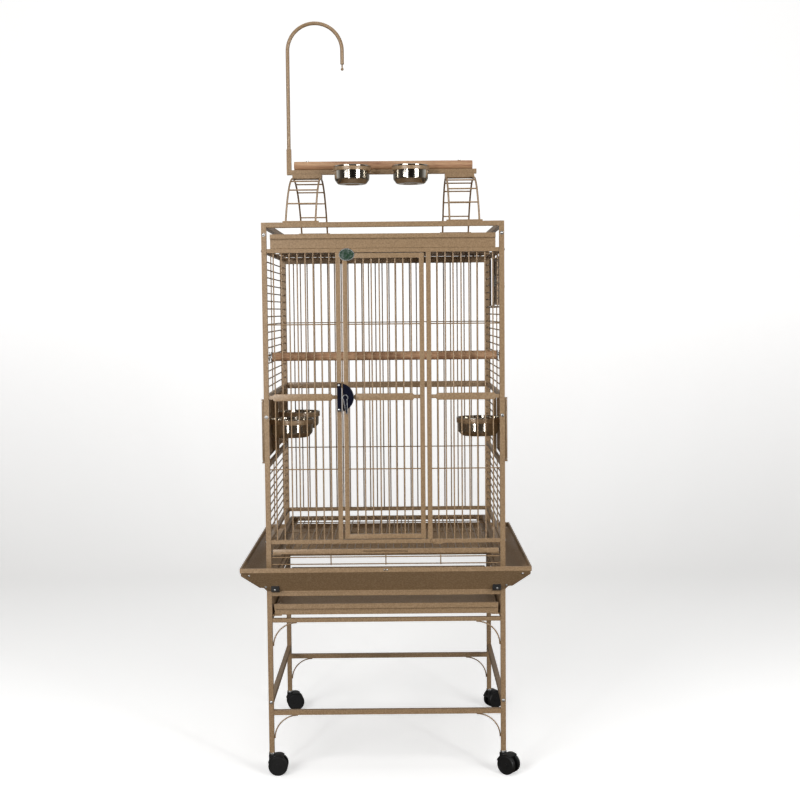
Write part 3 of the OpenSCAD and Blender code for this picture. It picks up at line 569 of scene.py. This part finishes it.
KEEPER_SCREW_IN = 4.5
keeper_low, keeper_high = place_of("lock_keeper")
keeper_x = (keeper_low.x + keeper_high.x) / 2 - 0.5
keeper_seats = [(keeper_x, keeper_low.y, keeper_low.z + KEEPER_SCREW_IN),
                (keeper_x, keeper_low.y, keeper_high.z - KEEPER_SCREW_IN)]
piece("keeper_screws", [heads(keeper_seats, (0, -1, 0), 6, 1.2)], "frame", "bright_steel")

HUB_R, HUB_INLAY_R = 7.25, 5.6
lever_low = place_of("lock_lever")[0]
lever_x = lever_low.x + HUB_R
hub = oval(lever_x, MID_Z, HUB_INLAY_R, HUB_INLAY_R, 40)
arm = [(lever_x + a, MID_Z + b) for a, b in ((-3.6, -2), (3.9, -2), (5.0, -41), (1.8, -41))]
piece("lever_inlay", [plate(hub, "Y", lever_low.y - 0.35, 0.7, NAVY, 0.3),
                      plate(arm, "Y", lever_low.y - 0.3, 0.6, NAVY, 0.25)],
      "lock_lever", "navy_plastic")


# --- Feeder doors, nest door and cups -----------------------------------------
# Pressed steel pans on long pins carry flat-band rings. Each ring holds a spun
# stainless cup by its rolled rim, polished bright inside and out.

for node in ("feeder_door_left_front", "feeder_door_left_rear", "feeder_door_right", "nest_door"):
    dress(node, COAT, 0.5)


def polished_stainless():
    """Spun stainless steel: a warm grey mirror with faint lathe rings round each cup."""
    finish, tree, place = new_finish("polished stainless steel")
    rings = add(tree, "ShaderNodeTexWave", {"bands_direction": "Z"}, {
        "Vector": place, "Scale": 1 / (14 * MM), "Distortion": 1.5, "Detail": 2.0})
    rough = add(tree, "ShaderNodeMapRange", {}, {
        "Value": rings.outputs["Fac"], "To Min": 0.06, "To Max": 0.13})
    shade(tree, {"Base Color": linear("#c9c3b8"), "Metallic": 1.0,
                 "Roughness": rough.outputs["Result"]})
    return finish


STAINLESS = polished_stainless()
ON_AXIS = 1e-6
CUP_SIDES = 96


def turned(profile, finish, sides, seat):
    """A closed (radius, height) outline in mm turned about Z; seat is a matrix that places it."""
    shape = bmesh.new()
    rings = []
    for radius, height in profile:
        angles = full_turn(sides) if radius > ON_AXIS else [0.0]
        spots = [Vector((radius * math.cos(a), radius * math.sin(a), height)) for a in angles]
        rings.append([shape.verts.new(seat @ spot * MM) for spot in spots])
    for one, two in zip(rings, rings[1:] + rings[:1]):
        if len(one) == 1 and len(two) == 1:
            continue
        for i in range(sides):
            j = (i + 1) % sides
            corners = [one[i % len(one)], one[j % len(one)], two[j % len(two)], two[i % len(two)]]
            shape.faces.new(list(dict.fromkeys(corners)))
    return as_mesh(shape, finish)


def rounded(outline, radius):
    """An outline of (a, b, own radius or none) with each corner rounded."""
    steps = 5
    soft = []
    count = len(outline)
    for i in range(count):
        here = Vector(outline[i][:2])
        r = outline[i][2] if len(outline[i]) > 2 else radius
        back, on = Vector(outline[i - 1][:2]) - here, Vector(outline[(i + 1) % count][:2]) - here
        if r <= 0:
            soft.append(tuple(here))
            continue
        half = back.angle(on) / 2
        reach = min(r / math.tan(half), back.length * 0.48, on.length * 0.48)
        a, b = here + back.normalized() * reach, here + on.normalized() * reach
        for k in range(steps + 1):
            t = k / steps
            soft.append(tuple(a * (1 - t) ** 2 + here * 2 * t * (1 - t) + b * t * t))
    return soft


RIM_ROLL = 3.0


def cup(node, bead=1.7):
    """Spun cup: a steep wall, a wide turn into the foot, and a rolled rim on its ring. The bead
    is the height of that rim in mm."""
    low, high = place_of(node)
    x, y = (low.x + high.x) / 2, (low.y + high.y) / 2
    rim, top, foot = (high.x - low.x) / 2, high.z, low.z
    wall = rim - RIM_ROLL
    floor = wall * 0.8
    outline = rounded([
        (0, foot + 1.6, 0), (floor * 0.5, foot + 1.6, 0), (floor * 0.55, foot, 1), (floor, foot, 7),
        (wall - 0.6, foot + 12, 9), (wall, top - bead, 0.4), (rim, top - bead, 1.2),
        (rim, top, 1.2), (wall - 1.2, top, 1.2), (wall - 1.9, foot + 12, 9),
        (floor - 1, foot + 1.1, 7),
        (floor * 0.55, foot + 1.1, 1), (floor * 0.5, foot + 2.7, 0), (0, foot + 2.7, 0)], 1)
    return turned(outline, STAINLESS, CUP_SIDES, Matrix.Translation((x, y, 0)))


for node in ("feeder_cup_left_front", "feeder_cup_left_rear", "feeder_cup_right"):
    piece("spun_" + node, [cup(node)], node, "stainless_steel", node)

RING_BAND = 9.5
RING_SHEET = 2
TAB_HALF = 1
ring_z = place_of("play_cup_rings")[0].z
ring_parts = []
for node in ("play_cup_left", "play_cup_right"):
    piece("spun_" + node, [cup(node, 4.0)], node, "stainless_steel", node)
    low, high = place_of(node)
    middle, r = (low + high) / 2, (high.x - low.x) / 2
    band = rounded([(r - RING_SHEET, ring_z), (r, ring_z), (r, ring_z + RING_BAND),
                    (r - RING_SHEET, ring_z + RING_BAND)], 0.6)
    ring_parts.append(turned(band, COAT, CUP_SIDES, Matrix.Translation((middle.x, middle.y, 0))))
    for x in (middle.x - 14, middle.x + 14):
        ring_parts.append(block((x - TAB_HALF, middle.y + r - 3.4, ring_z),
                                (x + TAB_HALF, -POST / 2, ring_z + 9), COAT, 0.4))
piece("play_cup_bands", ring_parts, "frame", "sandstone_coat", "play_cup_rings")


# --- Floor grate, its lock tab and the guard wires -------------------------------
# The grate is a folded channel frame with a hand slot in front and thin bars
# across it. Two wire hoops close the gap between the grate and the skirt.

FRAME_BAR = 10.0
FRAME_LAP = 1
GRATE_WIRE = 3
HAND_SLOT = 57
grate_low, grate_high = place_of("grate")
grate_x = grate_high.x - FRAME_BAR
slot_low, slot_high = grate_low.z + 4.5, grate_low.z + 8


def pierced(mesh, low, high):
    """Cuts a square hole between two corners in mm out of a mesh."""
    body = bpy.data.objects.new("body", mesh)
    tool = bpy.data.objects.new("tool", block(low, high, mesh.materials[0], 0.3))
    for made in (body, tool):
        bpy.context.scene.collection.objects.link(made)
    cut = body.modifiers.new("cut", "BOOLEAN")
    cut.operation = "DIFFERENCE"
    cut.solver = "EXACT"
    cut.object = tool
    seen = body.evaluated_get(bpy.context.evaluated_depsgraph_get())
    result = bpy.data.meshes.new_from_object(seen)
    bpy.data.objects.remove(body)
    bpy.data.objects.remove(tool)
    return result


front_bar, back_bar = [
    block((grate_low.x, y, grate_low.z), (grate_high.x, y + FRAME_BAR, grate_high.z), COAT)
    for y in (grate_low.y, grate_high.y - FRAME_BAR)]
grate_parts = [pierced(front_bar, (-HAND_SLOT, grate_low.y - 2, slot_low),
                       (HAND_SLOT, grate_low.y + 6, slot_high)), back_bar]
grate_parts += [block((x, grate_low.y + FRAME_BAR - FRAME_LAP, grate_low.z),
                      (x + FRAME_BAR, grate_high.y - FRAME_BAR + FRAME_LAP, grate_high.z), COAT)
                for x in (grate_low.x, grate_x)]
grate_places = bar_places(-grate_x, grate_x)
bar_z = grate_high.z - 1.8
grate_parts.append(rods((grate_places[0], grate_low.y + 8, bar_z),
                        (0, grate_high.y - grate_low.y - 16, 0),
                        len(grate_places), (BAR_PITCH, 0, 0), size=GRATE_WIRE, nugget=1.75))
grate_parts.append(rods((-grate_x - 2, -OUT_Y / 2, bar_z - 2.4), (2 * grate_x + 4, 0, 0),
                        3, (0, OUT_Y / 2, 0), size=GRATE_WIRE))
piece("floor_grate", grate_parts, "grate", "sandstone_coat", "grate")

GUARD_WIRE = 3
STAY_IN, STAY_STEP, STAY_NUGGET = 2, 0.46, 1.52
guard_low, guard_high = place_of("grate_guard")
guard_parts = []
for z in (guard_low.z + 2, guard_high.z - 5):
    for y in (-BAR_Y, BAR_Y):
        guard_parts.append(rods((-IN_X, y, z), (2 * IN_X, 0, 0), size=GUARD_WIRE))
    for x in (-BAR_X, BAR_X):
        guard_parts.append(rods((x, -IN_Y, z), (0, 2 * IN_Y, 0), size=GUARD_WIRE))
stay = (0, 0, guard_high.z - guard_low.z)
step_x, step_y = STAY_STEP * OUT_X, STAY_STEP * OUT_Y
for y in (STAY_IN - BAR_Y, BAR_Y - STAY_IN):
    guard_parts.append(rods((-step_x, y, guard_low.z), stay, 3, (step_x, 0, 0),
                            size=GUARD_WIRE, nugget=STAY_NUGGET))
for x in (STAY_IN - BAR_X, BAR_X - STAY_IN):
    guard_parts.append(rods((x, -step_y, guard_low.z), stay, 3, (0, step_y, 0),
                            size=GUARD_WIRE, nugget=STAY_NUGGET))
piece("guard_wires", guard_parts, "frame", "sandstone_coat", "grate_guard")
dress("grate_lock_tab", COAT, 0.4)


# --- Seed skirt and trays ------------------------------------------------------
# Folded steel sheet, coated like the frame. The hems and lips are folds, so the
# corners are soft; clips and screws hold the skirt to the posts.

for node in ("skirt_front", "skirt_back", "skirt_left", "skirt_right"):
    dress(node, COAT, 0.5)
for node in ("bottom_tray", "play_tray"):
    dress(node, COAT, 0.6)


def black_nylon():
    """Moulded nylon: nearly black, with the fine spark texture of its mould."""
    finish, tree, place = new_finish("black moulded nylon")
    skin = add(tree, "ShaderNodeTexNoise", {}, {
        "Vector": place, "Scale": 1 / (1.2 * MM), "Detail": 3.0})
    tone = ramp(tree, skin.outputs["Fac"], [(0.35, "#0c0c0d"), (0.65, "#141415")])
    bump = add(tree, "ShaderNodeBump", {}, {
        "Strength": 0.25, "Distance": 0.12 * MM, "Height": skin.outputs["Fac"]})
    shade(tree, {"Base Color": tone, "Roughness": 0.45, "Normal": bump.outputs["Normal"],
                 "IOR": 1.5})
    return finish


NYLON = black_nylon()

FOOT_FLANGE, HEM = 4.5, 11
CLIP_WIDTH, CLIP_OUT, CLIP_GAP = 21, 17, 0.4
LAP_SHEET, LAP_RISE = 0.9, 0.9
skirt_low, skirt_high = place_of("skirt_front")
SKIRT_OUT = -OUT_Y - skirt_low.y
SKIRT_Z = skirt_low.z + FOOT_FLANGE
SKIRT_RISE = skirt_high.z - HEM - SKIRT_Z
slope = SKIRT_RISE / SKIRT_OUT
lean = math.atan2(SKIRT_RISE, SKIRT_OUT)
clip_side = ((0, -4), (CLIP_OUT, 2), (CLIP_OUT, CLIP_OUT * slope - CLIP_GAP), (0, -CLIP_GAP))
ear = rounded([(e + reach, e) for e, reach in (
    (10.5, -1), (10.5, 6), (50, 9), (57, 2), (57, -1))], 3)
clip_parts, screw_parts, ear_parts = [], [], []
for ends in (-1, 1):
    outline = [(ends * (OUT_Y + a), SKIRT_Z + b) for a, b in clip_side]
    down = (0, ends * math.sin(lean), -math.cos(lean))
    for side in (-1, 1):
        clip_parts.append(plate(outline, "X", side * IN_X, -side * CLIP_WIDTH, NYLON, 1.0))
        corners = [(side * (OUT_X + x), ends * (OUT_Y + e), SKIRT_Z + slope * e + LAP_RISE)
                   for x, e in ear]
        ear_parts.append(slab(corners, [LAP_SHEET * d for d in down], COAT, 0.3))
    corner_seats = [(side * (OUT_X + e - 13), ends * (OUT_Y + e), SKIRT_Z + e * slope)
                    for side in (-1, 1) for e in (14, 52)]
    clip_seats = [(side * (IN_X - 9), ends * (OUT_Y + CLIP_OUT), SKIRT_Z + 6) for side in (-1, 1)]
    hem_seats = [(side * 3.5, ends * (OUT_Y + SKIRT_OUT), SKIRT_Z + SKIRT_RISE + 5.5)
                 for side in (-1, 1)]
    screw_parts += [heads(corner_seats, down, 7, 2.6), heads(clip_seats, (0, ends, 0), 5, 2.4),
                    heads(hem_seats, (0, ends, 0), 5, 1.6)]
piece("skirt_corner_laps", ear_parts, "frame", "sandstone_coat")

GUIDE_SHEET = 1.5
runner_z = place_of("tray_runners")[0].z
guide_top = place_of("stand_upper_rails")[1].z - RAIL
piece("tray_guides", [block((x, -IN_Y, runner_z), (x + GUIDE_SHEET, IN_Y, guide_top), COAT, 0.3)
                      for x in (-IN_X, IN_X - GUIDE_SHEET)], "frame", "sandstone_coat")
piece("skirt_clips", clip_parts, "frame", "black_nylon", "skirt_fixings")
piece("skirt_screws", screw_parts, "frame", "bright_steel")


# --- Play top --------------------------------------------------------------------
# Two arched wire ladders stand on the top rails and carry a square tube. On it
# lie the wooden perch and the cup rings, and the toy hook stands in its sleeve.

dress("perch_tube", COAT, TUBE_EDGE)
for node in ("left_ladder", "right_ladder", "toy_hook", "corner_gussets"):
    dress(node, COAT)


def perch_wood():
    """Sanded reddish hardwood dowel: long grain lines about 1.5 mm apart along X,
    with broad paler and redder bands between them."""
    finish, tree, place = new_finish("sanded hardwood dowel")
    stretched = add(tree, "ShaderNodeMapping", {}, {"Vector": place, "Scale": (0.06, 1, 1)})
    grain = add(tree, "ShaderNodeTexNoise", {}, {
        "Vector": stretched.outputs["Vector"], "Scale": 1 / (1.5 * MM), "Detail": 4.0,
        "Distortion": 0.4})
    bands = add(tree, "ShaderNodeTexNoise", {}, {
        "Vector": stretched.outputs["Vector"], "Scale": 1 / (11 * MM), "Detail": 2.0,
        "Distortion": 0.8})
    mixed = add(tree, "ShaderNodeMath", {"operation": "ADD"}, {
        0: grain.outputs["Fac"], 1: bands.outputs["Fac"]})
    half = add(tree, "ShaderNodeMath", {"operation": "MULTIPLY"}, {0: mixed.outputs[0], 1: 0.5})
    tone = ramp(tree, half.outputs[0],
                [(0.3, "#855a40"), (0.48, "#aa8262"), (0.6, "#ba9572"), (0.75, "#cba989")])
    bump = add(tree, "ShaderNodeBump", {}, {
        "Strength": 0.2, "Distance": 0.2 * MM, "Height": grain.outputs["Fac"]})
    shade(tree, {"Base Color": tone, "Roughness": 0.62, "Normal": bump.outputs["Normal"],
                 "IOR": 1.45})
    return finish


WOOD = perch_wood()
LIE_ALONG_X = Matrix.Rotation(math.pi / 2, 4, "Y")
PERCH_SANDING = 1.6
PERCH_RING_GAP = 40


def perch(node):
    """A dowel with its ends rounded by sanding and rings of vertices along its length."""
    low, high = place_of(node)
    middle = (low + high) / 2
    r, half = (high.z - low.z) / 2, (high.x - low.x) / 2
    outline = rounded([(0, -half, 0), (r, -half, PERCH_SANDING), (r, half, PERCH_SANDING),
                       (0, half, 0)], 1)
    profile = []
    for (r0, x0), (r1, x1) in zip(outline, outline[1:] + outline[:1]):
        profile.append((r0, x0))
        steps = int(abs(x1 - x0) // PERCH_RING_GAP)
        if r0 > 0:
            profile += [(r0 + (r1 - r0) * k / steps, x0 + (x1 - x0) * k / steps)
                        for k in range(1, steps)]
    return turned(profile, WOOD, 48, Matrix.Translation(middle) @ LIE_ALONG_X)


piece("play_top_perch", [perch("play_perch")], "frame", "perch_wood", "play_perch")
piece("cage_perch", [perch("inside_perch")], "frame", "perch_wood", "inside_perch")


# --- Casters -----------------------------------------------------------------
# Moulded black nylon: a swivel body with a hood, and two hard wheels on a pin.

for corner in ("front_left", "front_right", "back_left", "back_right"):
    dress("caster_" + corner, NYLON, 0.5)
    dress("wheels_" + corner, NYLON, 0.8)
dress("caster_collars", PLATED, 0.4)


# --- Bolts -------------------------------------------------------------------
# Bright dome-headed bolts hold the panels to the posts, three up each post in front
# and behind and two on each side. The perch has its own bolts and wing nuts.

BOLT_HEAD = 9
bolt_z = place_of("frame_bolts")[0].z
upright_z = (bolt_z + BOLT_HEAD / 2, MID_Z - 49, FRAME_TOP - POST - 18)
side_z = (CAGE_FLOOR + RAIL / 2, ROOF_Z + RAIL / 2)
bolt_parts = [heads([(side * BAR_X, ends * OUT_Y, z) for side in (-1, 1) for z in upright_z],
                    (0, ends, 0), BOLT_HEAD, 3.3) for ends in (-1, 1)]
bolt_parts += [heads([(side * OUT_X, ends * BAR_Y, z) for ends in (-1, 1) for z in side_z],
                     (side, 0, 0), 7, 2.4) for side in (-1, 1)]
piece("frame_bolt_heads", bolt_parts, "frame", "bright_steel", "frame_bolts")
dress("perch_bolts", PLATED)


# --- Floor, light and camera ----------------------------------------------------
# A pale studio sweep, three wide soft lights, two tall narrow ones that the cups
# reflect, and a long lens at 1.2 m.

def studio_paper():
    """Matt white background paper with a barely visible tooth. It glows for the camera only;
    reflections and bounced light see it darker near the floor."""
    finish, tree, place = new_finish("white background paper")
    tooth = add(tree, "ShaderNodeTexNoise", {}, {"Vector": place, "Scale": 40.0, "Detail": 2.0})
    tone = ramp(tree, tooth.outputs["Fac"], [(0.3, "#f6f6f5"), (0.7, "#fafafa")])
    height = add(tree, "ShaderNodeSeparateXYZ", {}, {"Vector": place})
    risen = add(tree, "ShaderNodeMapRange", {}, {"Value": height.outputs["Z"], "From Max": 1.2})
    bounce = ramp(tree, risen.outputs["Result"], [(0.0, "#5f564b"), (1.0, "#e4e2df")])
    seen = add(tree, "ShaderNodeLightPath", {}, {})
    paper = add(tree, "ShaderNodeMix", {"data_type": "RGBA"}, {
        0: seen.outputs["Is Camera Ray"], 6: bounce, 7: tone})
    brighter = add(tree, "ShaderNodeMapRange", {}, {
        "Value": risen.outputs["Result"], "To Min": 0.42, "To Max": 0.7})
    glow = add(tree, "ShaderNodeMath", {"operation": "MULTIPLY"}, {
        0: seen.outputs["Is Camera Ray"], 1: brighter.outputs["Result"]})
    shade(tree, {"Base Color": paper.outputs[2], "Roughness": 0.9,
                 "Emission Color": linear("#ffffff"), "Emission Strength": glow.outputs[0]})
    return finish


# The sweep in metres: its bend starts behind the cage, and it lies a hair below the wheels.
BEND_Y, BEND_R, BEND_STEPS = 2.2, 1.6, 16
SWEEP_HALF_WIDTH = 7.0
FLOOR_DROP = 0.0004
sweep_mesh = bpy.data.meshes.new("sweep")
sweep_profile = [(-6.0, 0.0), (BEND_Y, 0.0)]
for k in range(1, BEND_STEPS + 1):
    a = math.pi / 2 * k / BEND_STEPS
    sweep_profile.append((BEND_Y + BEND_R * math.sin(a), BEND_R - BEND_R * math.cos(a)))
sweep_profile.append((BEND_Y + BEND_R, 7.0))
spots = [(x, y, z - FLOOR_DROP) for y, z in sweep_profile
         for x in (-SWEEP_HALF_WIDTH, SWEEP_HALF_WIDTH)]
sweep_mesh.from_pydata(spots, [], [(2 * i, 2 * i + 1, 2 * i + 3, 2 * i + 2)
                                   for i in range(len(sweep_profile) - 1)])
sweep_mesh.materials.append(studio_paper())
sweep_mesh.shade_smooth()
sweep = bpy.data.objects.new("sweep", sweep_mesh)
bpy.context.scene.collection.objects.link(sweep)
sweep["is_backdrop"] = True

sky = bpy.data.worlds.new("studio")
sky.use_nodes = True
room = sky.node_tree
backing = room.nodes["Background"]
around = add(room, "ShaderNodeTexCoord", {}, {}).outputs["Generated"]
towards = add(room, "ShaderNodeSeparateXYZ", {}, {"Vector": around})
depth = add(room, "ShaderNodeMapRange", {}, {
    "Value": towards.outputs["Y"], "From Min": -0.7, "From Max": 0.5})
wall = ramp(room, depth.outputs["Result"], [(0.0, "#1d1a17"), (0.45, "#5a5650"), (1.0, "#e8eaec")])
first_seen = add(room, "ShaderNodeLightPath", {}, {})
shown = add(room, "ShaderNodeMix", {"data_type": "RGBA"}, {
    0: first_seen.outputs["Is Camera Ray"], 6: wall, 7: linear("#ffffff")})
room.links.new(shown.outputs[2], backing.inputs["Color"])
backing.inputs["Strength"].default_value = 1.0
bpy.context.scene.world = sky
bpy.context.scene.view_settings.view_transform = "Standard"


def soft_light(name, place, aim, width, height, power):
    """A rectangular light in metres and watts, turned to its aim and hidden from the camera."""
    lamp = bpy.data.lights.new(name, "AREA")
    lamp.shape = "RECTANGLE"
    lamp.size, lamp.size_y, lamp.energy = width, height, power
    stand = bpy.data.objects.new(name, lamp)
    stand.visible_camera = False
    turn = (Vector(aim) - Vector(place)).to_track_quat("-Z", "Y").to_matrix().to_4x4()
    stand.matrix_world = Matrix.Translation(place) @ turn
    bpy.context.scene.collection.objects.link(stand)


soft_light("key", (-2.6, -3.4, 2.6), (0, 0, 1.0), 1.4, 2.2, 76)
soft_light("fill", (2.8, -3.0, 2.0), (0, 0, 1.0), 1.2, 2.2, 47)
soft_light("top", (0, -0.5, 4.2), (0, 0, 1.0), 2.6, 2.6, 34)
soft_light("left strip", (-1.15, -3.0, 1.1), (0, 0, 1.1), 0.22, 2.1, 26)
soft_light("right strip", (1.75, -2.7, 1.1), (0, 0, 1.1), 0.22, 2.1, 26)

FOCAL_PIXELS, PICTURE_PIXELS = 1300.52, 800
lens = bpy.data.cameras.new("camera")
lens.sensor_width = 36
lens.lens = FOCAL_PIXELS / PICTURE_PIXELS * lens.sensor_width
camera = bpy.data.objects.new("camera", lens)
bpy.context.scene.collection.objects.link(camera)
camera.matrix_world = (
    Matrix.Translation((0.04237, -3.56145, 1.19272)) @ Matrix.Rotation(0.0008, 4, "Z")
    @ Matrix.Rotation(math.pi / 2 - 0.0689, 4, "X") @ Matrix.Rotation(-0.0091, 4, "Z"))
bpy.context.scene.camera = camera

low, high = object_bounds()
